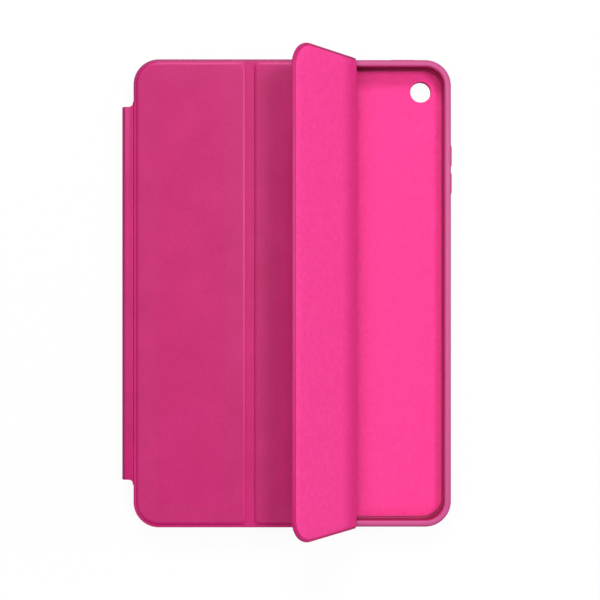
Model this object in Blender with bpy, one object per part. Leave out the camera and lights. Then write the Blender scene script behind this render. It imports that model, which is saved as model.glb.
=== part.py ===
"""Folio case for a small tablet: a leather-wrapped tray and a cover of three stiff panels.

The cover folds on soft strips and joins the tray through a spine. The tray lies on its
back: +Z points out of the pocket, +Y to the top of the tablet, +X away from the spine.
Each body hangs on an empty that sits on its joint's axis. Panels and strips are drawn as
they lie when the cover is closed, and the empties then fold the third panel back.
"""

import math

import bmesh
import bpy
from mathutils import Matrix, Vector

MM = 0.001

# Tray, in millimetres. An inset is a distance in from the tray's outer outline.
HALF_WIDTH = 69.35
HALF_HEIGHT = 102.0
CORNER_R = 11.3
LEATHER_T = 0.7
SHELL_T = 0.8
LINING_T = 0.4
LAYER_GAP = 0.3
TABLET_T = 7.5
TABLET_PLAY = 0.1
LIP_T = 0.5
LIP_GAP = 0.2
LIP_LEATHER_T = 0.6
LIP_WIDTH = 3.0
BACK_ROUND = 3.0
RIM_ROUND = 1.5
SHELL_FLOOR = LEATHER_T + LAYER_GAP
LINING_FLOOR = SHELL_FLOOR + SHELL_T + LAYER_GAP
POCKET_FLOOR = LINING_FLOOR + LINING_T
LIP_UNDER = POCKET_FLOOR + TABLET_T + TABLET_PLAY
SHELL_TOP = LIP_UNDER + LIP_T
RIM_TOP = SHELL_TOP + LIP_GAP + LIP_LEATHER_T
SHELL_INSET = LEATHER_T + LAYER_GAP
WALL_INSET = SHELL_INSET + SHELL_T

# Cover, as it lies when closed.
COVER_HALF_WIDTH = 69.0
COVER_HALF_HEIGHT = 101.7
COVER_CORNER_R = 11.0
COVER_LINING_T = 0.3
BOARD_T = 0.8
COVER_LEATHER_T = 0.6
BOND_GAP = 0.1
COVER_GAP = 0.3
GROOVE_DEPTH = 0.5
COVER_UNDER = RIM_TOP + COVER_GAP
BOARD_UNDER = COVER_UNDER + COVER_LINING_T + BOND_GAP
SKIN_UNDER = BOARD_UNDER + BOARD_T + BOND_GAP
COVER_TOP = SKIN_UNDER + COVER_LEATHER_T
GROOVE_TOP = COVER_TOP - GROOVE_DEPTH
FOLD_SKIN_UNDER = GROOVE_TOP - COVER_LEATHER_T
FOLD_LINING_UNDER = FOLD_SKIN_UNDER - BOND_GAP - COVER_LINING_T
FIELD_MARGIN = 1.7
FIELD_BEVEL = 0.7
FIELD_CORNER_R = 2.6
WELL_MARGIN = 1.9
BOARD_MARGIN = 2.2
LINING_MARGIN = 1.6
SMALL_R = 0.8

# Folds. A fold's axis runs over the middle of its strip, just above the panels' leather.
FOLD_AXIS_RISE = 0.2
PIVOT_CLEAR = 0.3
FOLD_WIDTH = 4.2
FOLD_LINING_WIDTH = 2.8
FOLD_12_LEFT = -20.4
FOLD_23_LEFT = 24.1
PANEL_3_OPEN_DEG = 129.0

# Spine, a flat strip between two quarter rounds, proud of the tray's side.
SPINE_HALF_LENGTH = 80.9
SPINE_OUT = 74.0
SPINE_ROUND = 2.8
SPINE_LEATHER_T = 0.6
SPINE_STIFFENER_T = 0.7
BACK_HINGE_X = -69.9
BACK_HINGE_Z = -0.05
FRONT_HINGE_X = -69.3
FRONT_HINGE_RISE = 0.05
SPINE_LIFT = 0.1
FLANGE_T = 0.6

# Openings and buttons round the edge: place along the wall, length and height.
PORT_Z = 6.1
CAMERA_AT = (57.0, 89.6)
CAMERA_R = 4.6
MIC_R = 0.9
JACK_R = 3.0
BUTTON_PROUD = 0.8
WINDOW_CLEAR = 0.3
SLOTS = (
    ("headphone_jack", "top", -52.0, 2 * JACK_R, 2 * JACK_R),
    ("microphone", "top", 0.0, 2 * MIC_R, 2 * MIC_R),
    ("side_switch", "right", 73.0, 8.5, 3.6),
    ("dock_port", "bottom", 0.0, 12.0, 4.8),
    ("speaker_left", "bottom", -18.0, 15.0, 3.0),
    ("speaker_right", "bottom", 18.0, 15.0, 3.0),
)
BUTTONS = (
    ("power_button", "top", 48.5, 12.5, 4.0),
    ("volume_up", "right", 60.5, 10.0, 4.0),
    ("volume_down", "right", 48.5, 10.0, 4.0),
)

# Magnets along the third panel's free edge, and the steel strip they hold on to in a roll.
MAGNET = (3.6, 14.0)
MAGNET_X = 64.5
MAGNET_Y = (-60.0, -24.0, 24.0, 60.0)
SLEEP_MAGNET = (5.0, 5.0)
SLEEP_MAGNET_AT = (60.0, -84.0)
KEEPER = (6.0, 130.0)
KEEPER_AT = (-58.0, 0.0)
INSERT_T = 0.6

PINK_LEATHER = (0.56, 0.035, 0.17)
PINK_LINING = (0.80, 0.065, 0.30)
PLASTIC_PINK = (0.42, 0.020, 0.115)
BOARD_WHITE = (0.62, 0.60, 0.56)
STEEL = (0.56, 0.57, 0.58)
NICKEL = (0.66, 0.64, 0.60)

CORNER_STEPS = 7
ROUND_STEPS = 4


def clear_scene():
    for obj in list(bpy.data.objects):
        bpy.data.objects.remove(obj)


def material(name, colour, roughness, metallic=0.0):
    made = bpy.data.materials.new(name)
    made.use_nodes = True
    shader = made.node_tree.nodes["Principled BSDF"]
    shader.inputs["Base Color"].default_value = (*colour, 1.0)
    shader.inputs["Roughness"].default_value = roughness
    shader.inputs["Metallic"].default_value = metallic
    return made


# ---- joint axes -------------------------------------------------------------------------

PIVOTS = {}


def pivot(name, at, parent=None, turn_deg=0.0):
    """An empty on a joint's axis. at is where it lies with the cover closed."""
    empty = bpy.data.objects.new(name, None)
    bpy.context.collection.objects.link(empty)
    place = Vector(at) * MM
    if parent:
        empty.parent = PIVOTS[parent][0]
        empty.location = place - PIVOTS[parent][1]
    else:
        empty.location = place
    empty.rotation_euler = (0.0, -math.radians(turn_deg), 0.0)
    PIVOTS[name] = (empty, place)


def add_pivots():
    fold_12 = (FOLD_12_LEFT + FOLD_WIDTH / 2, 0, COVER_TOP + FOLD_AXIS_RISE)
    fold_23 = (FOLD_23_LEFT + FOLD_WIDTH / 2, 0, COVER_TOP + FOLD_AXIS_RISE)
    pivot("spine_axis", (BACK_HINGE_X, 0, BACK_HINGE_Z))
    pivot("panel_1_axis", (FRONT_HINGE_X, 0, COVER_TOP + FRONT_HINGE_RISE), "spine_axis")
    pivot("fold_12_axis", fold_12, "panel_1_axis")
    pivot("panel_2_axis", fold_12, "panel_1_axis")
    pivot("fold_23_axis", fold_23, "panel_2_axis", PANEL_3_OPEN_DEG / 2)
    pivot("panel_3_axis", fold_23, "panel_2_axis", PANEL_3_OPEN_DEG)


# ---- mesh helpers -----------------------------------------------------------------------


def add_object(name, bm, mat, parent=None, smooth=True):
    """The mesh as an object, in metres, hung on its pivot where it has one."""
    mesh = bpy.data.meshes.new(name)
    bmesh.ops.recalc_face_normals(bm, faces=bm.faces)
    bmesh.ops.scale(bm, vec=(MM, MM, MM), verts=bm.verts)
    if parent:
        bmesh.ops.translate(bm, vec=-PIVOTS[parent][1], verts=bm.verts)
    bm.to_mesh(mesh)
    bm.free()
    obj = bpy.data.objects.new(name, mesh)
    bpy.context.collection.objects.link(obj)
    if parent:
        obj.parent = PIVOTS[parent][0]
    if mat:
        mesh.materials.append(mat)
    if smooth:
        mesh.shade_smooth()
        mesh.set_sharp_from_angle(angle=math.radians(30))
    return obj


def loft(loops):
    """A closed solid through loops of equal length, with both ends capped."""
    bm = bmesh.new()
    rings = [[bm.verts.new(co) for co in loop] for loop in loops]
    for low, high in zip(rings, rings[1:]):
        for i in range(len(low)):
            j = (i + 1) % len(low)
            bm.faces.new((low[i], low[j], high[j], high[i]))
    bm.faces.new(reversed(rings[0]))
    bm.faces.new(rings[-1])
    return bm


def ribbon(outer, inner, half_length):
    """A strip along Y whose section lies between two paths of (x, z) points."""
    bm = bmesh.new()
    ends = []
    for y in (-half_length, half_length):
        rows = [[bm.verts.new((x, y, z)) for x, z in path] for path in (outer, inner)]
        ends.append(rows)
    (near_out, near_in), (far_out, far_in) = ends
    for i in range(len(outer) - 1):
        bm.faces.new((near_out[i], near_out[i + 1], far_out[i + 1], far_out[i]))
        bm.faces.new((near_in[i], far_in[i], far_in[i + 1], near_in[i + 1]))
        bm.faces.new((near_out[i], near_in[i], near_in[i + 1], near_out[i + 1]))
        bm.faces.new((far_out[i], far_out[i + 1], far_in[i + 1], far_in[i]))
    for i in (0, -1):
        bm.faces.new((near_out[i], far_out[i], far_in[i], near_in[i]))
    return bm


def outline(left, right, half_height, z, left_r, right_r):
    """A rectangle with rounded corners, anticlockwise from its right top corner."""
    corners = (
        (right - right_r, half_height - right_r, right_r, 0),
        (left + left_r, half_height - left_r, left_r, 90),
        (left + left_r, -half_height + left_r, left_r, 180),
        (right - right_r, -half_height + right_r, right_r, 270),
    )
    points = []
    for x, y, r, start in corners:
        for step in range(CORNER_STEPS):
            turn = math.radians(start + 90 * step / (CORNER_STEPS - 1))
            points.append((x + r * math.cos(turn), y + r * math.sin(turn), z))
    return points


def tray_loops(profile):
    """One tray outline for each (inset, z) of the profile."""
    return [
        outline(
            inset - HALF_WIDTH,
            HALF_WIDTH - inset,
            HALF_HEIGHT - inset,
            z,
            CORNER_R - inset,
            CORNER_R - inset,
        )
        for inset, z in profile
    ]


def arc(centre_a, centre_b, radius, start_deg, end_deg):
    """Points of an arc in any plane, both ends included."""
    turns = [
        math.radians(start_deg + (end_deg - start_deg) * step / ROUND_STEPS)
        for step in range(ROUND_STEPS + 1)
    ]
    return [(centre_a + radius * math.cos(t), centre_b + radius * math.sin(t)) for t in turns]


def block(low, high):
    """A box between two corners."""
    bm = bmesh.new()
    size = [b - a for a, b in zip(low, high)]
    middle = [(a + b) / 2 for a, b in zip(low, high)]
    place = Matrix.Translation(middle) @ Matrix.Diagonal((*size, 1.0))
    bmesh.ops.create_cube(bm, size=1.0, matrix=place)
    return bm


def cutter(name, bm, parent=None):
    obj = add_object(name, bm, None, parent, smooth=False)
    obj.hide_render = True
    obj.display_type = "WIRE"
    return obj


def combine(obj, other, operation):
    modifier = obj.modifiers.new(other.name, "BOOLEAN")
    modifier.object = other
    modifier.operation = operation


# ---- openings and buttons in the tray's wall --------------------------------------------


def wall_frame(side, along):
    """Local X runs along the wall, local Y up, and local Z out of it, from its outer face."""
    up = Vector((0, 0, 1))
    if side == "right":
        out, at = Vector((1, 0, 0)), Vector((HALF_WIDTH, along, PORT_Z))
    elif side == "top":
        out, at = Vector((0, 1, 0)), Vector((along, HALF_HEIGHT, PORT_Z))
    else:
        out, at = Vector((0, -1, 0)), Vector((along, -HALF_HEIGHT, PORT_Z))
    across = up.cross(out)
    frame = Matrix((across, up, out)).transposed().to_4x4()
    return Matrix.Translation(at) @ frame


def slot_loop(length, height, out, shrink=0.0):
    """A slot with round ends, at a height out of the wall."""
    radius = height / 2 - shrink
    reach = length / 2 - height / 2
    is_round = reach == 0
    points = []
    for end, start in ((1, -90), (-1, 90)):
        for step in range(CORNER_STEPS if is_round else CORNER_STEPS + 1):
            turn = math.radians(start + 180 * step / CORNER_STEPS)
            x = end * reach + radius * math.cos(turn)
            points.append((x, radius * math.sin(turn), out))
    return points


def slot_solid(frame, length, height, low, high, crown=0.0):
    loops = [slot_loop(length, height, low)]
    loops.append(slot_loop(length, height, high - crown))
    if crown:
        loops.append(slot_loop(length, height, high, crown))
    bm = loft(loops)
    bmesh.ops.transform(bm, matrix=frame, verts=bm.verts)
    return bm


def cut_slots(leather, shell):
    shell_depth = -(WALL_INSET + LIP_WIDTH)
    for name, side, along, length, height in SLOTS:
        frame = wall_frame(side, along)
        clear = 2 * WINDOW_CLEAR
        outer = slot_solid(frame, length, height, shell_depth, 1.0)
        inner = slot_solid(frame, length + clear, height + clear, shell_depth, 1.0)
        combine(leather, cutter(name + "_cut", outer), "DIFFERENCE")
        combine(shell, cutter(name + "_shell_cut", inner), "DIFFERENCE")


def add_buttons(leather, shell, mats):
    """Each button is a leather cap in a window of the wrap, over a plunger in the shell."""
    depth = -(WALL_INSET + LIP_WIDTH)
    for name, side, along, length, height in BUTTONS:
        frame = wall_frame(side, along)
        clear = 2 * WINDOW_CLEAR
        window = slot_solid(frame, length + clear, height + clear, depth, 1.0)
        window_cut = cutter(name + "_window_cut", window)
        combine(leather, window_cut, "DIFFERENCE")
        combine(shell, window_cut, "DIFFERENCE")
        pivot(name + "_axis", frame.translation)
        cap_back = -LEATHER_T
        cap = slot_solid(frame, length, height, cap_back, BUTTON_PROUD, crown=0.4)
        add_object(name + "_cap", cap, mats["leather"], name + "_axis")
        plunger_top = cap_back - BOND_GAP
        plunger_end = -WALL_INSET
        core = slot_solid(frame, length - 2.0, height - 1.0, plunger_end, plunger_top)
        add_object(name + "_plunger", core, mats["plastic"], name + "_axis")


def cut_camera(*objects):
    """One round hole through the back, in the corner away from the spine."""
    x, y = CAMERA_AT
    bm = bmesh.new()
    place = Matrix.Translation((x, y, 0.0))
    bmesh.ops.create_cone(
        bm,
        cap_ends=True,
        segments=28,
        radius1=CAMERA_R,
        radius2=CAMERA_R,
        depth=4 * POCKET_FLOOR,
        matrix=place,
    )
    hole = cutter("camera_cut", bm)
    for obj in objects:
        combine(obj, hole, "DIFFERENCE")


# ---- tray -------------------------------------------------------------------------------


def leather_profile():
    """Back, round back edge, wall, round rim, lip edge, then the inner face back down."""
    top_r = RIM_ROUND
    inner_r = RIM_ROUND - LEATHER_T
    lip_round = 0.4
    lip_under = RIM_TOP - LIP_LEATHER_T
    outer = arc(BACK_ROUND, BACK_ROUND, BACK_ROUND, 270, 180)
    outer += arc(top_r, RIM_TOP - top_r, top_r, 180, 90)
    outer += arc(LIP_WIDTH - lip_round, RIM_TOP - lip_round, lip_round, 90, 0)
    inner = [(LIP_WIDTH, lip_under)]
    inner += arc(LEATHER_T + inner_r, lip_under - inner_r, inner_r, 90, 180)
    back_r = BACK_ROUND - LEATHER_T
    inner += arc(BACK_ROUND, BACK_ROUND, back_r, 180, 270)
    return outer + inner


def shell_profile():
    """The moulded frame: floor, wall and a thin lip that holds the tablet's edge."""
    back_r = BACK_ROUND - SHELL_INSET
    floor_r = BACK_ROUND - WALL_INSET
    outer = arc(BACK_ROUND, BACK_ROUND, back_r, 270, 180)
    outer.append((SHELL_INSET, SHELL_TOP))
    outer.append((LIP_WIDTH, SHELL_TOP))
    inner = [(LIP_WIDTH, LIP_UNDER), (WALL_INSET, LIP_UNDER)]
    inner += arc(BACK_ROUND, BACK_ROUND, floor_r, 180, 270)
    return outer + inner


def add_tray(mats):
    leather = add_object("tray_leather", loft(tray_loops(leather_profile())), mats["leather"])
    shell = add_object("tray_shell", loft(tray_loops(shell_profile())), mats["plastic"])
    floor_inset = BACK_ROUND
    floor = tray_loops([(floor_inset, LINING_FLOOR), (floor_inset, POCKET_FLOOR)])
    lining = add_object("tray_lining", loft(floor), mats["lining"])
    flange = block(
        (BACK_HINGE_X + PIVOT_CLEAR, -SPINE_HALF_LENGTH, LEATHER_T - FLANGE_T - 0.05),
        (BACK_ROUND - HALF_WIDTH + 0.5, SPINE_HALF_LENGTH, LEATHER_T - 0.05),
    )
    combine(leather, cutter("hinge_flange", flange), "UNION")
    cut_slots(leather, shell)
    add_buttons(leather, shell, mats)
    cut_camera(leather, shell, lining)


# ---- spine ------------------------------------------------------------------------------


def spine_path(inset, reach=0.0):
    """The spine's section as (x, z) points, an inset in from its outer face."""
    low = SPINE_LIFT + SPINE_ROUND
    high = COVER_TOP - SPINE_ROUND
    centre_x = SPINE_ROUND - SPINE_OUT
    radius = SPINE_ROUND - inset
    start_x = BACK_HINGE_X - PIVOT_CLEAR - reach
    end_x = FRONT_HINGE_X - PIVOT_CLEAR - reach
    path = [(start_x, SPINE_LIFT + inset)]
    path += arc(centre_x, low, radius, 270, 180)
    path += arc(centre_x, high, radius, 180, 90)
    path.append((end_x, COVER_TOP - inset))
    return path


def add_spine(mats):
    leather = ribbon(spine_path(0.0), spine_path(SPINE_LEATHER_T), SPINE_HALF_LENGTH)
    add_object("spine_leather", leather, mats["leather"], "spine_axis")
    outer_x = SPINE_LEATHER_T + BOND_GAP - SPINE_OUT
    inner_x = outer_x + SPINE_STIFFENER_T
    low = SPINE_LIFT + SPINE_ROUND
    high = COVER_TOP - SPINE_ROUND
    end = SPINE_HALF_LENGTH - BOARD_MARGIN
    stiffener = block((outer_x, -end, low), (inner_x, end, high))
    add_object("spine_stiffener", stiffener, mats["board"], "spine_axis", smooth=False)
    inset = inner_x + BOND_GAP + SPINE_OUT
    lining_end = SPINE_HALF_LENGTH - LINING_MARGIN
    reach = 0.5
    lining = ribbon(
        spine_path(inset, reach), spine_path(inset + COVER_LINING_T, reach), lining_end
    )
    add_object("spine_lining", lining, mats["lining"], "spine_axis")


# ---- cover panels and folds -------------------------------------------------------------


def panel_leather(left, right, left_r, right_r):
    """A sheet that caps the board: a turned margin round it and a raised field over it."""
    well_left_r = max(left_r - WELL_MARGIN, SMALL_R)
    well_right_r = max(right_r - WELL_MARGIN, SMALL_R)
    well = (
        left + WELL_MARGIN,
        right - WELL_MARGIN,
        COVER_HALF_HEIGHT - WELL_MARGIN,
    )
    field_left = left + FIELD_MARGIN
    field_right = right - FIELD_MARGIN
    field_half = COVER_HALF_HEIGHT - FIELD_MARGIN
    field_left_r = max(left_r - FIELD_MARGIN, FIELD_CORNER_R)
    field_right_r = max(right_r - FIELD_MARGIN, FIELD_CORNER_R)
    return loft(
        [
            outline(*well, SKIN_UNDER, well_left_r, well_right_r),
            outline(*well, BOARD_UNDER, well_left_r, well_right_r),
            outline(left, right, COVER_HALF_HEIGHT, BOARD_UNDER, left_r, right_r),
            outline(left, right, COVER_HALF_HEIGHT, GROOVE_TOP, left_r, right_r),
            outline(
                field_left - FIELD_BEVEL,
                field_right + FIELD_BEVEL,
                field_half + FIELD_BEVEL,
                GROOVE_TOP + 0.01,
                field_left_r + FIELD_BEVEL,
                field_right_r + FIELD_BEVEL,
            ),
            outline(
                field_left, field_right, field_half, COVER_TOP, field_left_r, field_right_r
            ),
        ]
    )


def plate(left, right, margin, low, high, left_r, right_r):
    """A flat sheet set in from the panel's outline by a margin."""
    half = COVER_HALF_HEIGHT - margin
    left_r = max(left_r - margin, SMALL_R)
    right_r = max(right_r - margin, SMALL_R)
    return loft(
        [
            outline(left + margin, right - margin, half, low, left_r, right_r),
            outline(left + margin, right - margin, half, high, left_r, right_r),
        ]
    )


def insert_block(size, at, clear=0.0):
    """A flat magnet or strip let into a board, or the pocket for it."""
    half_x = size[0] / 2 + clear
    half_y = size[1] / 2 + clear
    middle = BOARD_UNDER + BOARD_T / 2
    half_z = INSERT_T / 2 + (BOARD_T if clear else 0.0)
    return block(
        (at[0] - half_x, at[1] - half_y, middle - half_z),
        (at[0] + half_x, at[1] + half_y, middle + half_z),
    )


def add_insert(name, board, size, at, mat, axis):
    pocket = cutter(name + "_pocket", insert_block(size, at, LAYER_GAP), axis)
    combine(board, pocket, "DIFFERENCE")
    add_object(name, insert_block(size, at), mat, axis, smooth=False)


def add_panel(number, left, right, left_r, right_r, mats):
    """One stiff panel: leather outside, board, and lining on the screen side. Gives the board."""
    name = f"panel_{number}"
    axis = name + "_axis"
    lining_top = COVER_UNDER + COVER_LINING_T
    leather = panel_leather(left, right, left_r, right_r)
    board = plate(left, right, BOARD_MARGIN, BOARD_UNDER, BOARD_UNDER + BOARD_T, left_r, right_r)
    lining = plate(left, right, LINING_MARGIN, COVER_UNDER, lining_top, left_r, right_r)
    add_object(name + "_leather", leather, mats["leather"], axis)
    add_object(name + "_lining", lining, mats["lining"], axis)
    return add_object(name + "_board", board, mats["board"], axis, smooth=False)


def add_fold(number, left, mats):
    """The soft strip between two panels, leather and lining only."""
    name = f"fold_{number}"
    axis = name + "_axis"
    middle = left + FOLD_WIDTH / 2
    reach = FOLD_WIDTH / 2 - PIVOT_CLEAR
    half = COVER_HALF_HEIGHT
    skin = block((middle - reach, -half, FOLD_SKIN_UNDER), (middle + reach, half, GROOVE_TOP))
    add_object(name + "_leather", skin, mats["leather"], axis, smooth=False)
    reach = FOLD_LINING_WIDTH / 2
    half = COVER_HALF_HEIGHT - LINING_MARGIN
    low = (middle - reach, -half, FOLD_LINING_UNDER)
    high = (middle + reach, half, FOLD_LINING_UNDER + COVER_LINING_T)
    add_object(name + "_lining", block(low, high), mats["lining"], axis, smooth=False)


def add_cover(mats):
    square_r = SMALL_R
    round_r = COVER_CORNER_R
    fold_12_right = FOLD_12_LEFT + FOLD_WIDTH
    fold_23_right = FOLD_23_LEFT + FOLD_WIDTH
    first = add_panel(
        1, -COVER_HALF_WIDTH, FOLD_12_LEFT - PIVOT_CLEAR, round_r, square_r, mats
    )
    add_fold("12", FOLD_12_LEFT, mats)
    add_panel(
        2, fold_12_right + PIVOT_CLEAR, FOLD_23_LEFT - PIVOT_CLEAR, square_r, square_r, mats
    )
    add_fold("23", FOLD_23_LEFT, mats)
    third = add_panel(
        3, fold_23_right + PIVOT_CLEAR, COVER_HALF_WIDTH, square_r, round_r, mats
    )
    add_insert("keeper_strip", first, KEEPER, KEEPER_AT, mats["steel"], "panel_1_axis")
    for n, y in enumerate(MAGNET_Y, 1):
        at = (MAGNET_X, y)
        add_insert(f"edge_magnet_{n}", third, MAGNET, at, mats["magnet"], "panel_3_axis")
    add_insert(
        "sleep_magnet", third, SLEEP_MAGNET, SLEEP_MAGNET_AT, mats["magnet"], "panel_3_axis"
    )


def main():
    clear_scene()
    mats = {
        "leather": material("leather", PINK_LEATHER, 0.55),
        "lining": material("lining", PINK_LINING, 0.95),
        "plastic": material("plastic", PLASTIC_PINK, 0.6),
        "board": material("board", BOARD_WHITE, 0.8),
        "steel": material("steel", STEEL, 0.35, 1.0),
        "magnet": material("magnet", NICKEL, 0.3, 1.0),
    }
    add_pivots()
    bpy.context.view_layer.update()
    add_tray(mats)
    add_spine(mats)
    add_cover(mats)


main()
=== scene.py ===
"""Looks of the leather folio case: soft sheets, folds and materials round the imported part.

All shapes are drawn in millimetres, with the cover closed flat, and then opened as it rests.
"""

import math

import bmesh
import bpy
import numpy as np
from mathutils import Matrix, Vector


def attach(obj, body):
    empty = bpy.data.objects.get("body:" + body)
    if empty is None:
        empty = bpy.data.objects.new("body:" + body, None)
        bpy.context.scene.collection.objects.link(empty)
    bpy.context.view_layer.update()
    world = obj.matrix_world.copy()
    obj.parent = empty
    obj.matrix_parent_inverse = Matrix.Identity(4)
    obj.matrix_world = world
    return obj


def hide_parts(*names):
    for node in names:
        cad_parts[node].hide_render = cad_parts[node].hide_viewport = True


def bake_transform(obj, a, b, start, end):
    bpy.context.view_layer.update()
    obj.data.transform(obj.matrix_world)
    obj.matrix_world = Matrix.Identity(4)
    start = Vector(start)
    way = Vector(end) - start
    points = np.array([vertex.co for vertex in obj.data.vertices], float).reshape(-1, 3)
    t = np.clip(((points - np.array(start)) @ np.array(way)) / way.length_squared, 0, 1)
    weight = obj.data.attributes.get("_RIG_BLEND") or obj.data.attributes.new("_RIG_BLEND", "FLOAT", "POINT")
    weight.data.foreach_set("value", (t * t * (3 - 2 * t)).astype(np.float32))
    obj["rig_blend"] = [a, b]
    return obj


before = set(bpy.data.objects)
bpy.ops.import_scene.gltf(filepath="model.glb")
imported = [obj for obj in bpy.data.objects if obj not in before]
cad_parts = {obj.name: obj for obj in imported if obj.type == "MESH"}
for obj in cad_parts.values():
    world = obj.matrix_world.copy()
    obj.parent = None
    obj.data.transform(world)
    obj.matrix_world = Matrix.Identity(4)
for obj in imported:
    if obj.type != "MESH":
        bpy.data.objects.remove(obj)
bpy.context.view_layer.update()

MM = 0.001

# Tray
HALF_WIDTH = 69.35
HALF_HEIGHT = 102.0
CORNER_R = 11.3
LEATHER_T = 0.7
SHELL_INSET = 1.0
SHELL_T = 0.8
WALL_INSET = SHELL_INSET + SHELL_T
LINING_FLOOR = 2.1
POCKET_FLOOR = 2.5
LIP_UNDER = 10.1
SHELL_TOP = 10.6
RIM_TOP = 11.4
LIP_WIDTH = 3.0
LIP_ROUND = 0.9
BACK_ROUND = 3.0
RIM_ROUND = 1.5

# Cover, closed: its outline, and the heights of its layers
COVER_HALF_WIDTH = 69.0
COVER_HALF_HEIGHT = 101.7
COVER_CORNER_R = 11.0
LINING_UNDER = 11.7
LINING_T = 0.35
SKIN_UNDER = 12.05
WELL_TOP = 12.95
GROOVE_TOP = 13.12
FIELD_TOP = 13.6
CROWN = 0.08
FIELD_CORNER_R = 2.6

# Turned edge of the cover's leather, from its side up to the groove: inset, and z
TURNED_EDGE = (
    (0.0, 12.60),
    (0.04, 12.86),
    (0.16, 13.02),
    (0.38, 13.10),
    (0.6, GROOVE_TOP),
)

# Leather that lies flat round the boards, bare round the lining, and bare at the free edge
EDGE_MARGIN = 1.15
LINING_MARGIN = 1.1
FREE_BAND = 1.9

# Dark edge, partly edge paint and partly painted shade: how far it reaches in from the outline at the top
# and at the bottom; it is wider at the top, where the edge is in shade
HEM_TOP = 1.35
HEM_BOTTOM = 0.25
HEM_FADE = 0.36

# Slope at which a board's shoulder takes its full painted highlight or painted shade
SHOULDER_SLOPE = 0.2

# Folds: their middle lines, their reach to each side, and the heights of their layers
FOLD_12_X = -18.3
FOLD_23_X = 26.2
FOLD_AXIS_Z = 13.8
FOLD_REACH = 1.7
FOLD_RAMP = 1.2
FOLD_LINING_UNDER = 12.05
FOLD_SKIN_UNDER = 12.45
FOLD_HOLLOW = 0.12

# How far from a fold the lining is darkened with painted shade
FOLD_SHADE_REACH = 11.0

# Angle of the third panel at rest, from closed
OPEN_DEG = 129.0

# Spine
SPINE_HALF_LENGTH = 80.9
SPINE_OUT = 74.0
SPINE_ROUND = 2.8
SPINE_TOP_ROUND = 1.8
SPINE_T = 0.6
SPINE_LOW = 0.05
SPINE_MIDDLE_Z = 6.9
SPINE_FLARE = 2.4
SPINE_LINING_IN = 1.5
SPINE_LINING_T = 0.3

# Where the spine's sheets end in X, at the tray and at the cover
SPINE_TRAY_END = -66.7
SPINE_COVER_END = -68.7
SPINE_LINING_TRAY_END = -69.15
SPINE_LINING_COVER_END = -67.2

# Crease between spine and cover
CREASE_X = -69.25
CREASE_WIDTH = 0.55
CREASE_DEPTH = 0.5

# Spans of X over which the spine's sheets bend, at the tray and at the cover
LOWER_BEND = (-69.0, -71.3)
UPPER_BEND = (-71.2, -69.0)

# Where painted shade darkens the leather over the spine's outer bend
BEND_SHADE_X = -72.3
BEND_SHADE_X_FADE = 0.5
BEND_SHADE_LOW_Z = 10.3
BEND_SHADE_Z_FADE = 1.5

# Openings: name, side, place along it, length, height
PORT_Z = 6.1
LENS_HOLE_AT = (57.0, 89.6)
LENS_HOLE_R = 4.6
WINDOW_CLEAR = 0.3
SLOTS = (
    ("headphone_jack", "top", -52.0, 6.0, 6.0),
    ("microphone", "top", 0.0, 1.8, 1.8),
    ("side_switch", "right", 73.0, 8.5, 3.6),
    ("dock_port", "bottom", 0.0, 12.0, 4.8),
    ("speaker_left", "bottom", -18.0, 15.0, 3.0),
    ("speaker_right", "bottom", 18.0, 15.0, 3.0),
)
# Buttons: name, body, side, place along it, length, height
BUTTONS = (
    ("power_button", "power_button", "top", 48.5, 12.5, 4.0),
    ("volume_up", "volume_up_button", "right", 60.5, 10.0, 4.0),
    ("volume_down", "volume_down_button", "right", 48.5, 10.0, 4.0),
)
# A button cap's swelling side: height out of the wall, and inset from its outline
CAP_PROFILE = (
    (-LEATHER_T, 0.0),
    (0.25, 0.0),
    (0.38, 0.03),
    (0.52, 0.12),
    (0.65, 0.3),
    (0.74, 0.6),
    (0.79, 1.0),
    (0.8, 1.5),
)

# Light: sky strength at the horizon and overhead, and what the camera sees of the backdrop and
# of the floor. Each light has its name, place in metres, size in metres and power in watts.
HORIZON = 0.03
ZENITH = 0.2
BACKDROP = 0.97
FLOOR_GLOW = 0.91
FLOOR_HALF_SIZE = 3000.0
FLOOR_GAP = 0.1
SOFTBOXES = (
    ("top", (-0.1, 1.35, 1.50), 0.6, 15.5),
    ("right", (0.70, 0.24, 1.86), 0.5, 13.0),
    ("low_right", (1.92, 0.16, 0.54), 0.6, 10.0),
)
MATT_FILL = ("fill", (-0.7, -0.2, 1.86), 2.0, 19.0)

# View: the camera's place in metres, looking straight down
VIEW_FROM = (0.00336, -0.00506, 0.4444)
VIEW_LENS = 59.6
VIEW_SHIFT_Y = 0.0083

# Mesh fineness
CORNER_STEPS = 15
ARC_STEPS = 8
SHARP_DEG = 32.0

# Colours, linear
PINK_DARK = (0.53, 0.006, 0.142, 1.0)
PINK_LIGHT = (0.59, 0.010, 0.168, 1.0)
# Painted sheen: the tray's rim tone, lighter and paler than the leather
RIM_SHEEN_PINK = (0.54, 0.072, 0.245, 1.0)
# Dark edge tone: edge paint and painted shade
EDGE_PAINT_AND_SHADE_PINK = (0.36, 0.012, 0.125, 1.0)
# Painted highlight and painted shade for the boards' shoulders
PAINTED_HIGHLIGHT_PINK = (0.74, 0.016, 0.230, 1.0)
PAINTED_SHADE_PINK = (0.34, 0.003, 0.075, 1.0)
LINING_DARK = (0.87, 0.048, 0.275, 1.0)
LINING_LIGHT = (0.95, 0.066, 0.330, 1.0)
# Painted shade for the lining next to the folds
LINING_FOLD_SHADE = (0.55, 0.015, 0.150, 1.0)
FRAME_PINK = (0.42, 0.020, 0.115, 1.0)
BOARD_GREY = (0.62, 0.60, 0.56, 1.0)
STEEL_GREY = (0.56, 0.57, 0.58, 1.0)
NICKEL_GREY = (0.66, 0.64, 0.60, 1.0)


# ---- materials --------------------------------------------------------------------------


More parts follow.
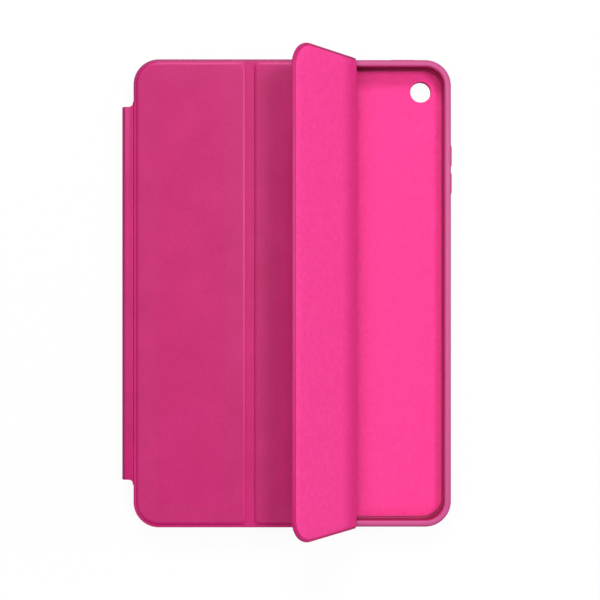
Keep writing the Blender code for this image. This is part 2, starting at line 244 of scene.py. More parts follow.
class Shader:
    """A material's node tree, with short calls to add nodes."""

    def __init__(self, name):
        self.material = bpy.data.materials.new(name)
        self.material.use_nodes = True
        self.nodes = self.material.node_tree.nodes
        self.links = self.material.node_tree.links
        self.surface = self.nodes["Principled BSDF"]

    def add(self, kind, **inputs):
        node = self.nodes.new(kind)
        for key, value in inputs.items():
            self.put(value, node.inputs[key.replace("_", " ")])
        return node

    def put(self, value, socket):
        if isinstance(value, bpy.types.NodeSocket):
            self.links.new(value, socket)
        else:
            socket.default_value = value

    def place(self):
        """Each point's place in millimetres on the flat, closed cover."""
        node = self.nodes.new("ShaderNodeAttribute")
        node.attribute_name = "flat"
        return node.outputs["Vector"]

    def object_place(self):
        """For pieces that keep their CAD mesh, in millimetres."""
        coords = self.nodes.new("ShaderNodeTexCoord").outputs["Object"]
        node = self.nodes.new("ShaderNodeVectorMath")
        node.operation = "SCALE"
        self.put(coords, node.inputs[0])
        node.inputs["Scale"].default_value = 1 / MM
        return node.outputs["Vector"]

    def split(self, place):
        return self.add("ShaderNodeSeparateXYZ", Vector=place).outputs

    def noise(self, place, size_mm, detail=3.0, roughness=0.55):
        node = self.add(
            "ShaderNodeTexNoise",
            Vector=place,
            Scale=1.0 / size_mm,
            Detail=detail,
            Roughness=roughness,
        )
        return node.outputs["Fac"]

    def cells(self, place, size_mm, randomness=1.0):
        node = self.add(
            "ShaderNodeTexVoronoi", Vector=place, Scale=1.0 / size_mm, Randomness=randomness
        )
        return node.outputs["Distance"]

    def fit(self, value, low, high, from_low=0.0, from_high=1.0):
        node = self.nodes.new("ShaderNodeMapRange")
        for key, number in zip((1, 2, 3, 4), (from_low, from_high, low, high)):
            node.inputs[key].default_value = number
        self.put(value, node.inputs[0])
        return node.outputs[0]

    def mix(self, share, low, high):
        node = self.nodes.new("ShaderNodeMix")
        node.data_type = "RGBA"
        self.put(share, node.inputs[0])
        self.put(low, node.inputs[6])
        self.put(high, node.inputs[7])
        return node.outputs[2]

    def math(self, operation, a, b):
        node = self.nodes.new("ShaderNodeMath")
        node.operation = operation
        self.put(a, node.inputs[0])
        self.put(b, node.inputs[1])
        return node.outputs[0]

    def bump(self, height, depth_mm, strength=1.0, under=None):
        node = self.add("ShaderNodeBump", Height=height, Distance=depth_mm * MM, Strength=strength)
        if under is not None:
            self.put(under, node.inputs["Normal"])
        return node.outputs["Normal"]

    def finish(self, colour, roughness, normal=None, **inputs):
        self.put(colour, self.surface.inputs["Base Color"])
        self.put(roughness, self.surface.inputs["Roughness"])
        if normal is not None:
            self.put(normal, self.surface.inputs["Normal"])
        for key, value in inputs.items():
            self.put(value, self.surface.inputs[key.replace("_", " ")])
        return self.material


def beside_spine(s, place):
    """1 on the cover's left margin where the spine is joined to it, and 0 elsewhere."""
    split = s.split(place)
    along = s.math("ABSOLUTE", split["Y"], 0.0)
    share = s.fit(along, 1.0, 0.0, SPINE_HALF_LENGTH, SPINE_HALF_LENGTH + SPINE_FLARE)
    left = -COVER_HALF_WIDTH
    share = s.math("MULTIPLY", share, s.fit(split["X"], 0.0, 1.0, left - 1.0, left - 0.5))
    return s.math("MULTIPLY", share, s.fit(split["X"], 1.0, 0.0, left + 8.0, left + 9.0))


def leather(name, dark, light, rim=None, edge=None):
    """Dyed leather: cloudy dye, pebbled grain with pores, and a satin finish.

    A painted sheen, lighter and paler, comes in towards the tray's lip. With an edge tone, the leather is
    darkened where the edge and bend marks say, as edge paint and painted shade, and made lighter or darker
    over the boards' shoulders where the shoulder marks say, as painted highlight and painted shade.
    """
    s = Shader(name)
    place = s.place()
    clouds = s.noise(place, 16.0, 4.0)
    grain = s.cells(place, 0.55)
    pores = s.noise(place, 0.28, 2.0)
    colour = s.mix(s.fit(clouds, 0.0, 1.0, 0.3, 0.7), dark, light)
    deep = tuple(0.78 * c for c in dark[:3]) + (1.0,)
    colour = s.mix(s.fit(grain, 0.0, 0.45, 0.35, 0.9), colour, deep)
    height = s.split(place)["Z"]
    # Painted sheen, lighter and paler, towards the tray's lip
    if rim:
        colour = s.mix(s.fit(height, 0.0, 1.0, 10.4, 11.2), colour, rim)
    if edge:
        # Dark edge: edge paint and painted shade, weaker beside the spine
        edge_paint_and_shade = s.nodes.new("ShaderNodeAttribute")
        edge_paint_and_shade.attribute_name = "edge_paint_and_shade"
        painted = s.math("MULTIPLY", edge_paint_and_shade.outputs["Fac"], s.fit(beside_spine(s, place), 1.0, 0.25))
        colour = s.mix(painted, colour, edge)
        # Painted highlight on shoulders facing right and up, painted shade on those facing left and down
        shoulder_light_and_shade = s.nodes.new("ShaderNodeAttribute")
        shoulder_light_and_shade.attribute_name = "shoulder_light_and_shade"
        colour = s.mix(s.fit(shoulder_light_and_shade.outputs["Fac"], 0.0, 0.5, 0.1, 1.0), colour, PAINTED_HIGHLIGHT_PINK)
        colour = s.mix(s.fit(shoulder_light_and_shade.outputs["Fac"], 0.0, 0.5, -0.1, -1.0), colour, PAINTED_SHADE_PINK)
    pebbles = s.math("ADD", s.math("MULTIPLY", grain, -1.0), s.math("MULTIPLY", pores, 0.5))
    normal = s.bump(pebbles, 0.05, 0.5)
    normal = s.bump(clouds, 0.5, 0.25, normal)
    roughness = s.fit(clouds, 0.37, 0.43)
    return s.finish(
        colour, roughness, normal, Specular_IOR_Level=0.36, Sheen_Weight=0.01, Sheen_Roughness=0.4
    )


def microfibre(name, dark, light, fold_shade=None):
    """Brushed microfibre: matt, with short nap. Next to a fold it is darkened with painted shade."""
    s = Shader(name)
    place = s.place()
    nap = s.noise(place, 2.2, 5.0, 0.7)
    fibres = s.noise(place, 0.35, 3.0, 0.7)
    colour = s.mix(s.fit(nap, 0.0, 1.0, 0.3, 0.7), dark, light)
    # Painted shade, deepening towards each fold
    if fold_shade:
        across = s.split(place)["X"]
        for fold_x in (FOLD_12_X, FOLD_23_X):
            away = s.math("ABSOLUTE", s.math("SUBTRACT", across, fold_x), 0.0)
            colour = s.mix(s.fit(away, 0.65, 0.0, 1.0, FOLD_SHADE_REACH), colour, fold_shade)
    normal = s.bump(fibres, 0.12, 0.6)
    return s.finish(
        colour,
        0.95,
        normal,
        Specular_IOR_Level=0.1,
        Sheen_Weight=0.2,
        Sheen_Roughness=0.5,
        Sheen_Tint=light,
    )


def plastic(name, colour, place_kind="place"):
    """Moulded plastic with a fine spark-eroded texture."""
    s = Shader(name)
    place = getattr(s, place_kind)()
    grit = s.noise(place, 0.15, 2.0)
    clouds = s.noise(place, 12.0, 2.0)
    lighter = tuple(min(1.0, 1.12 * c) for c in colour[:3]) + (1.0,)
    tone = s.mix(clouds, colour, lighter)
    return s.finish(tone, s.fit(grit, 0.5, 0.65), s.bump(grit, 0.02, 0.5))


def board(name, colour):
    """Stiff glass-filled sheet: pale, with short fibres showing in it."""
    s = Shader(name)
    place = s.object_place()
    stretch = s.add("ShaderNodeMapping", Vector=place, Scale=(0.25, 3.0, 1.0))
    fibres = s.noise(stretch.outputs["Vector"], 1.2, 4.0)
    darker = tuple(0.8 * c for c in colour[:3]) + (1.0,)
    return s.finish(s.mix(fibres, darker, colour), 0.8, s.bump(fibres, 0.03, 0.5))


def metal(name, colour, roughness, stretch_by):
    """Plated or rolled metal, brushed along Y."""
    s = Shader(name)
    place = s.object_place()
    stretch = s.add("ShaderNodeMapping", Vector=place, Scale=(stretch_by, 0.3, stretch_by))
    lines = s.noise(stretch.outputs["Vector"], 1.0, 3.0)
    rough = s.fit(lines, roughness - 0.08, roughness + 0.08)
    return s.finish(colour, rough, s.bump(lines, 0.01, 0.4), Metallic=1.0)


MATS = {
    "leather": leather("leather_pink", PINK_DARK, PINK_LIGHT),
    "tray_leather": leather("leather_pink_tray", PINK_DARK, PINK_LIGHT, rim=RIM_SHEEN_PINK),
    "cover_leather": leather("leather_pink_cover", PINK_DARK, PINK_LIGHT, edge=EDGE_PAINT_AND_SHADE_PINK),
    "lining": microfibre("microfibre_pink", LINING_DARK, LINING_LIGHT),
    "cover_lining": microfibre("microfibre_pink_cover", LINING_DARK, LINING_LIGHT, LINING_FOLD_SHADE),
    "frame": plastic("frame_plastic", FRAME_PINK),
    "plunger": plastic("plunger_plastic", FRAME_PINK, "object_place"),
    "board": board("glass_filled_board", BOARD_GREY),
    "steel": metal("rolled_steel", STEEL_GREY, 0.35, 4.0),
    "magnet": metal("nickel_plate", NICKEL_GREY, 0.25, 1.0),
}


# ---- mesh helpers -----------------------------------------------------------------------


def points_of(mesh):
    flat = np.empty(3 * len(mesh.vertices), np.float32)
    mesh.vertices.foreach_get("co", flat)
    return flat.reshape(-1, 3)


def dress(obj, mat):
    """Material, smooth shading, and each point's drawn place kept for the textures."""
    mesh = obj.data
    mesh.materials.clear()
    mesh.materials.append(MATS[mat])
    places = mesh.attributes.new("flat", "FLOAT_VECTOR", "POINT")
    places.data.foreach_set("vector", (points_of(mesh) / MM).ravel())
    mesh.shade_smooth()
    mesh.set_sharp_from_angle(angle=math.radians(SHARP_DEG))


def paint_shoulder_light(obj):
    """Marks the shoulders for painted light: 1, painted highlight, where they face right and up the cover;
    -1, painted shade, left and down.
    """
    mesh = obj.data
    normals = np.empty(3 * len(mesh.vertices), np.float32)
    mesh.vertex_normals.foreach_get("vector", normals)
    normals = normals.reshape(-1, 3)
    facing = (normals[:, 0] + normals[:, 1]) / (math.sqrt(2) * SHOULDER_SLOPE)
    on_top = (normals[:, 2] > 0.5) & (points_of(mesh)[:, 2] > (GROOVE_TOP + 0.05) * MM)
    shoulder_light_and_shade = mesh.attributes.new("shoulder_light_and_shade", "FLOAT", "POINT")
    shoulder_light_and_shade.data.foreach_set("value", np.clip(facing, -1.0, 1.0) * on_top)


def paint_edge_and_shade(obj):
    """Marks the cover's turned edge, where its leather is darkened as edge paint and painted shade, wider
    along the top, where the painted shade lies.

    The free edge at the right is left bare.
    """
    points = points_of(obj.data) / MM
    x = np.abs(points[:, 0]) - (COVER_HALF_WIDTH - COVER_CORNER_R)
    y = np.abs(points[:, 1]) - (COVER_HALF_HEIGHT - COVER_CORNER_R)
    past_corner = np.hypot(np.maximum(x, 0.0), np.maximum(y, 0.0))
    rightward = (points[:, 0] > 0.0) * np.maximum(x, 0.0) ** 2 / (past_corner**2 + 1e-9)
    inside = COVER_CORNER_R - past_corner - np.minimum(np.maximum(x, y), 0.0)
    # Wider at the top, where the edge is in shade: painted shade
    reach = np.where(points[:, 1] > 0.0, HEM_TOP, HEM_BOTTOM)
    share = np.clip((reach - inside) / HEM_FADE, 0.0, 1.0) * (points[:, 2] > SKIN_UNDER + 0.1)
    share *= 1.0 - rightward
    edge_paint_and_shade = obj.data.attributes.new("edge_paint_and_shade", "FLOAT", "POINT")
    edge_paint_and_shade.data.foreach_set("value", share)


def paint_bend_shade(obj):
    """Marks the spine's outer bend next to its top, where the leather is darkened with painted shade."""
    points = points_of(obj.data) / MM
    share = np.clip((BEND_SHADE_X - points[:, 0]) / BEND_SHADE_X_FADE, 0.0, 1.0)
    share *= np.clip((points[:, 2] - BEND_SHADE_LOW_Z) / BEND_SHADE_Z_FADE, 0.0, 1.0)
    edge_paint_and_shade = obj.data.attributes.new("edge_paint_and_shade", "FLOAT", "POINT")
    edge_paint_and_shade.data.foreach_set("value", share)


def solid(name, bm):
    """An object in metres from a mesh drawn in millimetres."""
    bmesh.ops.remove_doubles(bm, verts=bm.verts, dist=1e-4)
    bmesh.ops.recalc_face_normals(bm, faces=bm.faces)
    bmesh.ops.scale(bm, vec=(MM, MM, MM), verts=bm.verts)
    mesh = bpy.data.meshes.new(name)
    bm.to_mesh(mesh)
    bm.free()
    obj = bpy.data.objects.new(name, mesh)
    bpy.context.collection.objects.link(obj)
    return obj


def loft(loops):
    """A closed solid through loops of equal length, with both ends capped."""
    bm = bmesh.new()
    rings = [[bm.verts.new(co) for co in loop] for loop in loops]
    for low, high in zip(rings, rings[1:]):
        for i in range(len(low)):
            j = (i + 1) % len(low)
            bm.faces.new((low[i], low[j], high[j], high[i]))
    bm.faces.new(reversed(rings[0]))
    bm.faces.new(rings[-1])
    return bm


def arc(a, b, radius, start_deg, end_deg, steps=ARC_STEPS):
    turns = [math.radians(start_deg + (end_deg - start_deg) * i / steps) for i in range(steps + 1)]
    return [(a + radius * math.cos(t), b + radius * math.sin(t)) for t in turns]


def spaced(low, high, count):
    return [low + (high - low) * i / count for i in range(count + 1)]


def outline(left, right, half, z, left_r, right_r):
    """A rectangle with rounded corners, anticlockwise from its right top corner."""
    corners = (
        (right - right_r, half - right_r, right_r, 0),
        (left + left_r, half - left_r, left_r, 90),
        (left + left_r, -half + left_r, left_r, 180),
        (right - right_r, -half + right_r, right_r, 270),
    )
    points = []
    for x, y, r, start in corners:
        for px, py in arc(x, y, r, start, start + 90, CORNER_STEPS - 1):
            points.append((px, py, z))
    return points


def apply_modifiers(obj):
    graph = bpy.context.evaluated_depsgraph_get()
    mesh = bpy.data.meshes.new_from_object(obj.evaluated_get(graph))
    obj.modifiers.clear()
    obj.data = mesh


def blend_across(obj, bodies, span):
    """Blends a sheet between two bodies over a span of X, in millimetres."""
    start, end = span
    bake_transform(obj, *bodies, (start * MM, 0, 0), (end * MM, 0, 0))


# ---- tray -------------------------------------------------------------------------------


def tray_loops(profile):
    return [
        outline(
            inset - HALF_WIDTH,
            HALF_WIDTH - inset,
            HALF_HEIGHT - inset,
            z,
            CORNER_R - inset,
            CORNER_R - inset,
        )
        for inset, z in profile
    ]


def tray_leather_profile():
    """Back, wall and a rim rolled over the frame's lip, then the inner face back down."""
    outer = arc(BACK_ROUND, BACK_ROUND, BACK_ROUND, 270, 180)
    outer += arc(RIM_ROUND, RIM_TOP - RIM_ROUND, RIM_ROUND, 180, 90)
    outer += arc(LIP_WIDTH - LIP_ROUND, RIM_TOP - LIP_ROUND, LIP_ROUND, 90, 0)
    lip_bottom = LIP_UNDER - 0.1
    lip_round = 0.12
    inner = arc(LIP_WIDTH - lip_round, lip_bottom + lip_round, lip_round, 0, -90, 3)
    lip_inner = LIP_WIDTH - 0.3
    roof = RIM_TOP - LEATHER_T
    roof_round = 0.7
    inner += [(lip_inner, lip_bottom), (lip_inner, roof)]
    inner += arc(LEATHER_T + roof_round, roof - roof_round, roof_round, 90, 180)
    inner += arc(BACK_ROUND, BACK_ROUND, BACK_ROUND - LEATHER_T, 180, 270)
    return outer + inner


def shell_profile():
    outer = arc(BACK_ROUND, BACK_ROUND, BACK_ROUND - SHELL_INSET, 270, 180)
    lip_end = LIP_WIDTH - 0.36
    outer += [(SHELL_INSET, SHELL_TOP), (lip_end, SHELL_TOP), (lip_end, LIP_UNDER)]
    outer += [(WALL_INSET, LIP_UNDER)]
    return outer + arc(BACK_ROUND, BACK_ROUND, BACK_ROUND - WALL_INSET, 180, 270)


def wall_frame(side, along):
    """Local X runs along the wall, local Y up, and local Z out of it, from its outer face."""
    up = Vector((0, 0, 1))
    if side == "right":
        out, at = Vector((1, 0, 0)), Vector((HALF_WIDTH, along, PORT_Z))
    elif side == "top":
        out, at = Vector((0, 1, 0)), Vector((along, HALF_HEIGHT, PORT_Z))
    else:
        out, at = Vector((0, -1, 0)), Vector((along, -HALF_HEIGHT, PORT_Z))
    frame_axes = Matrix((up.cross(out), up, out)).transposed().to_4x4()
    return Matrix.Translation(at) @ frame_axes


def slot_loop(length, height, out, shrink=0.0):
    """A slot with round ends, at a height out of the wall."""
    radius = height / 2 - shrink
    reach = length / 2 - height / 2
    points = []
    for end, start in ((1, -90), (-1, 90)):
        for x, y in arc(0.0, 0.0, radius, start, start + 180, 16):
            points.append((end * reach + x, y, out))
    return points


def slot_solid(frame_at, loops):
    bm = loft([slot_loop(*loop) for loop in loops])
    bmesh.ops.transform(bm, matrix=frame_at, verts=bm.verts)
    return bm


def cut(obj, cutters):
    for cutter in cutters:
        modifier = obj.modifiers.new(cutter.name, "BOOLEAN")
        modifier.object = cutter
        modifier.operation = "DIFFERENCE"
    bpy.context.view_layer.update()
    apply_modifiers(obj)


def wall_cutters(clear):
    """Cutters for the openings, with a gap round them, and for the buttons' windows."""
    inner, outer = -(WALL_INSET + LIP_WIDTH), 1.0
    openings = [(*slot, clear) for slot in SLOTS]
    openings += [(name, *place, WINDOW_CLEAR) for name, _body, *place in BUTTONS]
    made = []
    for name, side, along, length, height, gap in openings:
        size = (length + 2 * gap, height + 2 * gap)
        bm = slot_solid(wall_frame(side, along), [(*size, inner), (*size, outer)])
        made.append(solid(name + "_cut", bm))
    return made


def lens_cutter(radius):
    bm = bmesh.new()
    bmesh.ops.create_cone(
        bm,
        cap_ends=True,
        segments=64,
        radius1=radius,
        radius2=radius,
        depth=10.0,
        matrix=Matrix.Translation((*LENS_HOLE_AT, 0.0)),
    )
    return solid("lens_cut", bm)


def add_tray():
    leather_obj = solid("tray_wrap", loft(tray_loops(tray_leather_profile())))
    shell = solid("tray_frame", loft(tray_loops(shell_profile())))
    floor_inset = BACK_ROUND + 0.05
    soft = 0.14
    floor = [(floor_inset, LINING_FLOOR), (floor_inset, POCKET_FLOOR - soft)]
    floor += arc(floor_inset + soft, POCKET_FLOOR - soft, soft, 180, 90, 4)[1:]
    lining = solid("tray_floor_lining", loft(tray_loops(floor)))
    cutters = wall_cutters(0.0)
    wide_cutters = wall_cutters(WINDOW_CLEAR)
    hole = lens_cutter(LENS_HOLE_R)
    wide_hole = lens_cutter(LENS_HOLE_R + WINDOW_CLEAR)
    cut(leather_obj, cutters + [hole])
    cut(shell, wide_cutters + [wide_hole])
    cut(lining, [hole])
    for helper in cutters + wide_cutters + [hole, wide_hole]:
        bpy.data.objects.remove(helper)
    dress(leather_obj, "tray_leather")
    dress(shell, "frame")
    dress(lining, "lining")
    for obj, node in (
        (leather_obj, "tray_leather"),
        (shell, "tray_shell"),
        (lining, "tray_lining"),
    ):
        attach(obj, "tray")
        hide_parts(node)


def add_button_caps():
    """Leather caps that swell over their plungers."""
    for name, body, side, along, length, height in BUTTONS:
        loops = [(length, height, out, inset) for out, inset in CAP_PROFILE]
        cap = solid(name + "_cover", slot_solid(wall_frame(side, along), loops))
        dress(cap, "leather")
        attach(cap, body)
        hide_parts(name + "_cap")


# ---- cover ------------------------------------------------------------------------------


def panel_loops(sides, profile):
    """Loops of a panel.

    Each profile entry has its inset at a free edge and at a fold, z, and, for the field, its
    corner radius at a fold.
    """
    left, right, left_free, right_free = sides
    loops = []
    for free, fold, z, *field_r in profile:
        low = left + (free if left_free else fold)
        high = right - (free if right_free else fold)
        half = COVER_HALF_HEIGHT - free
        floor_r = field_r[0] if field_r else min(FIELD_CORNER_R, 2.0 * fold)
        left_r = max(COVER_CORNER_R - free, 1.0) if left_free else floor_r
        right_r = max(COVER_CORNER_R - free, 1.0) if right_free else floor_r
        loops.append(outline(low, high, half, z, left_r, right_r))
    return loops


def ramp(point, high_z):
    """Lifts a point of the face between leather and lining next to a fold."""
    x, y, z = point
    for fold_x in (FOLD_12_X, FOLD_23_X):
        share = 1.0 - (abs(x - fold_x) - FOLD_REACH) / FOLD_RAMP
        if share > 0.0:
            return (x, y, max(z, SKIN_UNDER + (high_z - SKIN_UNDER) * min(share, 1.0)))
    return point


def panel_leather(name, sides):
    """Leather over a board: rounded turned edge, flat margin, soft bevel, crowned field."""
    under = [(4.0, 3.6, WELL_TOP), (2.15, 2.8, WELL_TOP), (2.15, 2.8, SKIN_UNDER)]
    edge = [(0.30, 0.0, SKIN_UNDER), (0.10, 0.0, 12.13), (0.0, 0.0, 12.32)]
    edge += [(inset, 0.0, z) for inset, z in TURNED_EDGE]
    foot_z = GROOVE_TOP + 0.22
    field = [(0.02, GROOVE_TOP + 0.001), (0.06, GROOVE_TOP + 0.02)]
    field += [(0.14, GROOVE_TOP + 0.09), (0.22, GROOVE_TOP + 0.17)]
    for t in spaced(0.0, 1.0, 8):
        field.append((0.30 + 1.4 * t, foot_z + (FIELD_TOP - foot_z) * t * (2 - t)))
    for step, inset in enumerate((1.2, 3.0, 6.0, 10.0)):
        field.append((1.70 + inset, FIELD_TOP + CROWN * (step + 1) / 4))
    field = [(EDGE_MARGIN + inset, inset, z, FIELD_CORNER_R) for inset, z in field]
    loops = panel_loops(sides, under + edge + field)
    for index in range(len(under), len(under) + 2):
        loops[index] = [ramp(point, FOLD_SKIN_UNDER) for point in loops[index]]
    return solid(name, loft(loops))


def panel_lining(name, sides):
    """Microfibre over the board's inner face, lower at its bonded edge and into the folds.

    It leaves a wider band of leather bare along the cover's free edge.
    """
    left, right, left_free, right_free = sides
    if right_free:
        sides = (left, right - (FREE_BAND - LINING_MARGIN), left_free, right_free)
    relief = [(0.0, 0.0, 12.02), (0.06, 0.25, 11.97), (0.3, 0.7, 11.91)]
    relief += [(0.55, 1.3, 11.85), (0.85, 2.1, 11.78), (1.2, 3.2, 11.73), (1.7, 4.0, 11.72)]
    relief += [(2.0, 4.8, LINING_UNDER - 0.04), (3.0, 6.0, LINING_UNDER - 0.06)]
    relief += [(8.0, 9.0, LINING_UNDER - 0.08)]
    entries = [(LINING_MARGIN + 2.0, 2.0, SKIN_UNDER), (LINING_MARGIN, 0.0, SKIN_UNDER)]
    entries += [(LINING_MARGIN + free, fold, z) for free, fold, z in relief]
    loops = panel_loops(sides, entries)
    loops[1] = [ramp(point, FOLD_LINING_UNDER + LINING_T) for point in loops[1]]
    return solid(name, loft(loops))


def fold_leather(name, fold_x):
    """The leather between two panels, as one thin strip."""
    half = COVER_HALF_HEIGHT
    edge = [(0.10, FOLD_SKIN_UNDER), (0.0, 12.52), *TURNED_EDGE, (HEM_TOP, GROOVE_TOP)]
    section = [(half - inset, z) for inset, z in edge]
    section += [(inset - half, z) for inset, z in reversed(edge)]
    stations = spaced(fold_x - FOLD_REACH, fold_x + FOLD_REACH, 28)
    return solid(name, loft([[(x, y, z) for y, z in section] for x in stations]))


def fold_lining(name, fold_x):
    half = COVER_HALF_HEIGHT - LINING_MARGIN
    loops = []
    for share in spaced(-1.0, 1.0, 28):
        x = fold_x + FOLD_REACH * share
        under = FOLD_LINING_UNDER - 0.03 + FOLD_HOLLOW * (1.0 - share * share)
        edge = [(0.0, FOLD_LINING_UNDER + LINING_T), (0.0, under + 0.08), (0.06, under)]
        loop = [(x, half - inset, z) for inset, z in edge]
        loop += [(x, inset - half, z) for inset, z in reversed(edge)]
        loops.append(loop)
    return solid(name, loft(loops))


def fold_back(obj, turns):
    """Turns the points about the second fold's axis, from closed to rest.

    turns is one angle for all of them, or one for each.
    """
    points = points_of(obj.data)
    x = points[:, 0] - FOLD_23_X * MM
    z = points[:, 2] - FOLD_AXIS_Z * MM
    cos, sin = np.cos(turns), np.sin(turns)
    points[:, 0] = FOLD_23_X * MM + x * cos - z * sin
    points[:, 2] = FOLD_AXIS_Z * MM + x * sin + z * cos
    obj.data.vertices.foreach_set("co", points.ravel())
    obj.data.update()


def add_panels():
    left_12 = FOLD_12_X - FOLD_REACH
    right_12 = FOLD_12_X + FOLD_REACH
    left_23 = FOLD_23_X - FOLD_REACH
    right_23 = FOLD_23_X + FOLD_REACH
    sides = {
        1: (-COVER_HALF_WIDTH, left_12, True, False),
        2: (right_12, left_23, False, False),
        3: (right_23, COVER_HALF_WIDTH, False, True),
    }
    for number, edges in sides.items():
        body = f"panel_{number}"
        skin = panel_leather(body + "_skin", edges)
        dress(skin, "cover_leather")
        # Painted highlight and painted shade on the shoulders
        paint_shoulder_light(skin)
        # Dark edge: edge paint and painted shade
        paint_edge_and_shade(skin)
        cloth = panel_lining(body + "_cloth", edges)
        dress(cloth, "cover_lining")
        for obj, node in ((skin, "_leather"), (cloth, "_lining")):
            if number == 3:
                fold_back(obj, math.radians(OPEN_DEG))
            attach(obj, body)
            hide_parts(body + node)


def add_folds():
    """Each fold is weighted between its panels while flat; the second is then bent to rest."""
    for number, fold_x, low, high in (
        ("12", FOLD_12_X, "panel_1", "panel_2"),
        ("23", FOLD_23_X, "panel_2", "panel_3"),
    ):
        skin = fold_leather(f"fold_{number}_skin", fold_x)
        dress(skin, "cover_leather")
        # Dark edge: edge paint and painted shade
        paint_edge_and_shade(skin)
        cloth = fold_lining(f"fold_{number}_cloth", fold_x)
        dress(cloth, "cover_lining")
        for obj, node in ((skin, "_leather"), (cloth, "_lining")):
            blend_across(obj, (low, high), (fold_x - FOLD_REACH, fold_x + FOLD_REACH))
            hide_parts(f"fold_{number}" + node)
            if number == "23":
                share = np.empty(len(obj.data.vertices), np.float32)
                obj.data.attributes["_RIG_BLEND"].data.foreach_get("value", share)
                fold_back(obj, math.radians(OPEN_DEG) * share)


# ---- spine ------------------------------------------------------------------------------


def path_normals(path):
    """Unit normals on the left of a path of (x, z) points."""
    normals = []
    for i in range(len(path)):
        before, after = path[max(i - 1, 0)], path[min(i + 1, len(path) - 1)]
        along = Vector((after[0] - before[0], after[1] - before[1])).normalized()
        normals.append((-along.y, along.x))
    return normals


def spine_sheet(name, path, thickness, half_of):
    """A sheet that follows a path, outer face on it. half_of gives its half length at x."""
    soft = min(0.16, thickness / 3)
    edge = [(soft, 0.0), (0.3 * soft, 0.3 * soft), (0.0, soft), (0.0, thickness - soft)]
    edge += [(0.3 * soft, thickness - 0.3 * soft), (soft, thickness)]
    loops = []
    for (x, z), (nx, nz) in zip(path, path_normals(path)):
        half = half_of(x)
        loop = []
        for sign, points in ((1, edge), (-1, list(reversed(edge)))):
            for inset, depth in points:
                loop.append((x + nx * depth, sign * (half - inset), z + nz * depth))
        loops.append(loop)
    return solid(name, loft(loops))


def spine_half(x):
    """The spine flares where it runs into the cover's edge and the tray's back."""
    start = SPINE_ROUND - SPINE_OUT
    reach = min(max(x - start, 0.0), SPINE_FLARE)
    return SPINE_HALF_LENGTH + SPINE_FLARE - math.sqrt(SPINE_FLARE**2 - reach**2)


def add_spine_leather():
    """The spine's leather, from under the tray round to the cover, with a crease beside it."""
    bend_x = SPINE_ROUND - SPINE_OUT
    top_bend_x = SPINE_TOP_ROUND - SPINE_OUT
    low_z = SPINE_LOW + SPINE_ROUND
    high_z = FIELD_TOP - SPINE_TOP_ROUND
    lower = [(x, SPINE_LOW) for x in spaced(SPINE_TRAY_END, bend_x, 18)[:-1]]
    lower += arc(bend_x, low_z, SPINE_ROUND, 270, 180, 12)
    lower += [(-SPINE_OUT, z) for z in spaced(low_z, SPINE_MIDDLE_Z, 3)[1:]]
    upper = [(-SPINE_OUT, z) for z in spaced(SPINE_MIDDLE_Z, high_z, 3)[:-1]]
    upper += arc(top_bend_x, high_z, SPINE_TOP_ROUND, 180, 90, 12)
    for x in spaced(top_bend_x, SPINE_COVER_END, 24)[1:]:
        dip = min(max((x - CREASE_X) / CREASE_WIDTH, 0.0), 1.0)
        upper.append((x, FIELD_TOP - CREASE_DEPTH * dip * dip))
    for name, path, bodies, bend in (
        ("spine_skin_lower", lower, ("tray", "spine"), LOWER_BEND),
        ("spine_skin_upper", upper, ("spine", "panel_1"), UPPER_BEND),
    ):
        skin = spine_sheet(name, path[::-1], SPINE_T, spine_half)
        dress(skin, "cover_leather")
        # Painted shade on the spine's outer bend
        paint_bend_shade(skin)
        blend_across(skin, bodies, bend)
        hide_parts("spine_leather")


def add_spine_lining():
    """Microfibre inside the spine, running on to the tray's wall and to the cover's lining."""
    bend_x = SPINE_ROUND - SPINE_OUT
    low_z = SPINE_LOW + SPINE_ROUND
    high_z = FIELD_TOP - SPINE_ROUND
    radius = SPINE_ROUND - SPINE_LINING_IN
    wall_x = SPINE_LINING_IN - SPINE_OUT
    floor_z = SPINE_LOW + SPINE_LINING_IN
    lower = [(x, floor_z) for x in spaced(SPINE_LINING_TRAY_END, bend_x, 10)[:-1]]
    lower += arc(bend_x, low_z, radius, 270, 180, 8)
    lower += [(wall_x, z) for z in spaced(low_z, SPINE_MIDDLE_Z, 2)[1:]]
    upper = [(wall_x, z) for z in spaced(SPINE_MIDDLE_Z, high_z, 2)[:-1]]
    upper += arc(bend_x, high_z, radius, 180, 90, 8)
    for x in spaced(bend_x, SPINE_LINING_COVER_END, 14)[1:]:
        upper.append((x, FIELD_TOP - SPINE_LINING_IN - 0.06 * min(x - bend_x, 1.5)))
    half = SPINE_HALF_LENGTH - LINING_MARGIN
    for name, path, bodies, bend in (
        ("spine_cloth_lower", lower, ("tray", "spine"), LOWER_BEND),
        ("spine_cloth_upper", upper, ("spine", "panel_1"), UPPER_BEND),
    ):
        cloth = spine_sheet(name, path[::-1], SPINE_LINING_T, lambda x: half)
        dress(cloth, "lining")
        blend_across(cloth, bodies, bend)
        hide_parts("spine_lining")


def dress_inner_parts():
    """Procedural materials for the stiff pieces inside, which keep their CAD shape."""
    for name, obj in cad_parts.items():
        if obj.hide_render:
            continue
        if name.endswith(("_board", "_stiffener")):
            mat = "board"
        elif name.endswith("_plunger"):
            mat = "plunger"
        elif name == "keeper_strip":
            mat = "steel"
        else:
            mat = "magnet"
        obj.data.materials.clear()
        obj.data.materials.append(MATS[mat])


# ---- stage ------------------------------------------------------------------------------


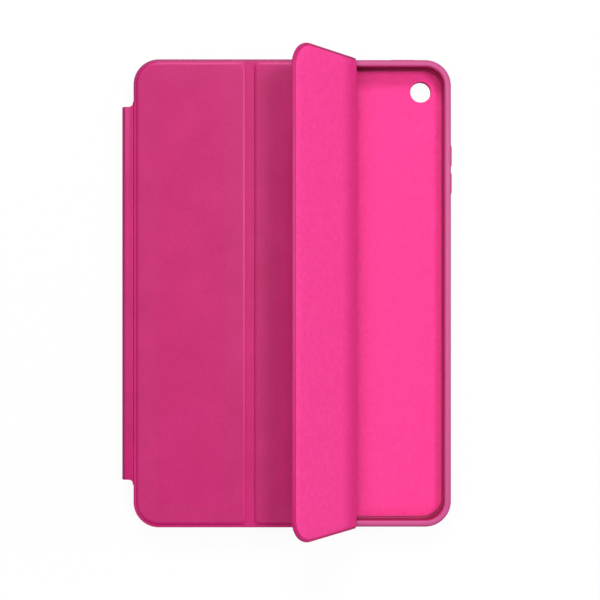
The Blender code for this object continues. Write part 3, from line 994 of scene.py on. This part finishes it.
def add_floor():
    bm = bmesh.new()
    bmesh.ops.create_grid(bm, x_segments=1, y_segments=1, size=FLOOR_HALF_SIZE)
    bmesh.ops.translate(bm, vec=(0, 0, -FLOOR_GAP), verts=bm.verts)
    floor = solid("floor", bm)
    s = Shader("floor_white")
    seen = s.nodes.new("ShaderNodeLightPath").outputs["Is Camera Ray"]
    pale = s.mix(seen, (0.45, 0.45, 0.45, 1.0), (0.08, 0.08, 0.08, 1.0))
    s.finish(pale, 0.9, Specular_IOR_Level=0.0)
    s.surface.inputs["Emission Color"].default_value = (1, 1, 1, 1)
    s.put(s.math("MULTIPLY", seen, FLOOR_GLOW), s.surface.inputs["Emission Strength"])
    floor.data.materials.append(s.material)


def softbox(name, at, size, power):
    """A round softbox, pointed at the middle of the case."""
    light = bpy.data.lights.new(name, "AREA")
    light.shape = "DISK"
    light.size = size
    light.energy = power
    obj = bpy.data.objects.new(name, light)
    obj.location = at
    obj.rotation_euler = (-Vector(at)).to_track_quat("-Z", "Y").to_euler()
    bpy.context.collection.objects.link(obj)
    return obj


def add_light():
    world = bpy.data.worlds.new("studio")
    world.use_nodes = True
    nodes, links = world.node_tree.nodes, world.node_tree.links
    coords = nodes.new("ShaderNodeTexCoord")
    split = nodes.new("ShaderNodeSeparateXYZ")
    rise = nodes.new("ShaderNodeMapRange")
    for key, number in zip((1, 2, 3, 4), (-0.05, 0.9, HORIZON, ZENITH)):
        rise.inputs[key].default_value = number
    links.new(coords.outputs["Generated"], split.inputs[0])
    links.new(split.outputs["Z"], rise.inputs[0])
    seen = nodes.new("ShaderNodeLightPath").outputs["Is Camera Ray"]
    strength = nodes.new("ShaderNodeMix")
    links.new(seen, strength.inputs[0])
    links.new(rise.outputs[0], strength.inputs[2])
    strength.inputs[3].default_value = BACKDROP
    links.new(strength.outputs[0], nodes["Background"].inputs["Strength"])
    nodes["Background"].inputs["Color"].default_value = (1, 1, 1, 1)
    bpy.context.scene.world = world
    for settings in SOFTBOXES:
        softbox(*settings)
    softbox(*MATT_FILL).visible_glossy = False


def add_camera():
    data = bpy.data.cameras.new("camera")
    data.sensor_width = 36.0
    data.lens = VIEW_LENS
    data.clip_start = 0.01
    data.clip_end = 20.0
    data.shift_y = VIEW_SHIFT_Y
    camera = bpy.data.objects.new("camera", data)
    camera.location = VIEW_FROM
    camera.rotation_euler = (0, 0, 0)
    bpy.context.collection.objects.link(camera)
    bpy.context.scene.camera = camera
    bpy.context.scene.view_settings.view_transform = "Standard"


add_tray()
add_button_caps()
add_panels()
add_folds()
add_spine_leather()
add_spine_lining()
dress_inner_parts()
add_floor()
add_light()
add_camera()
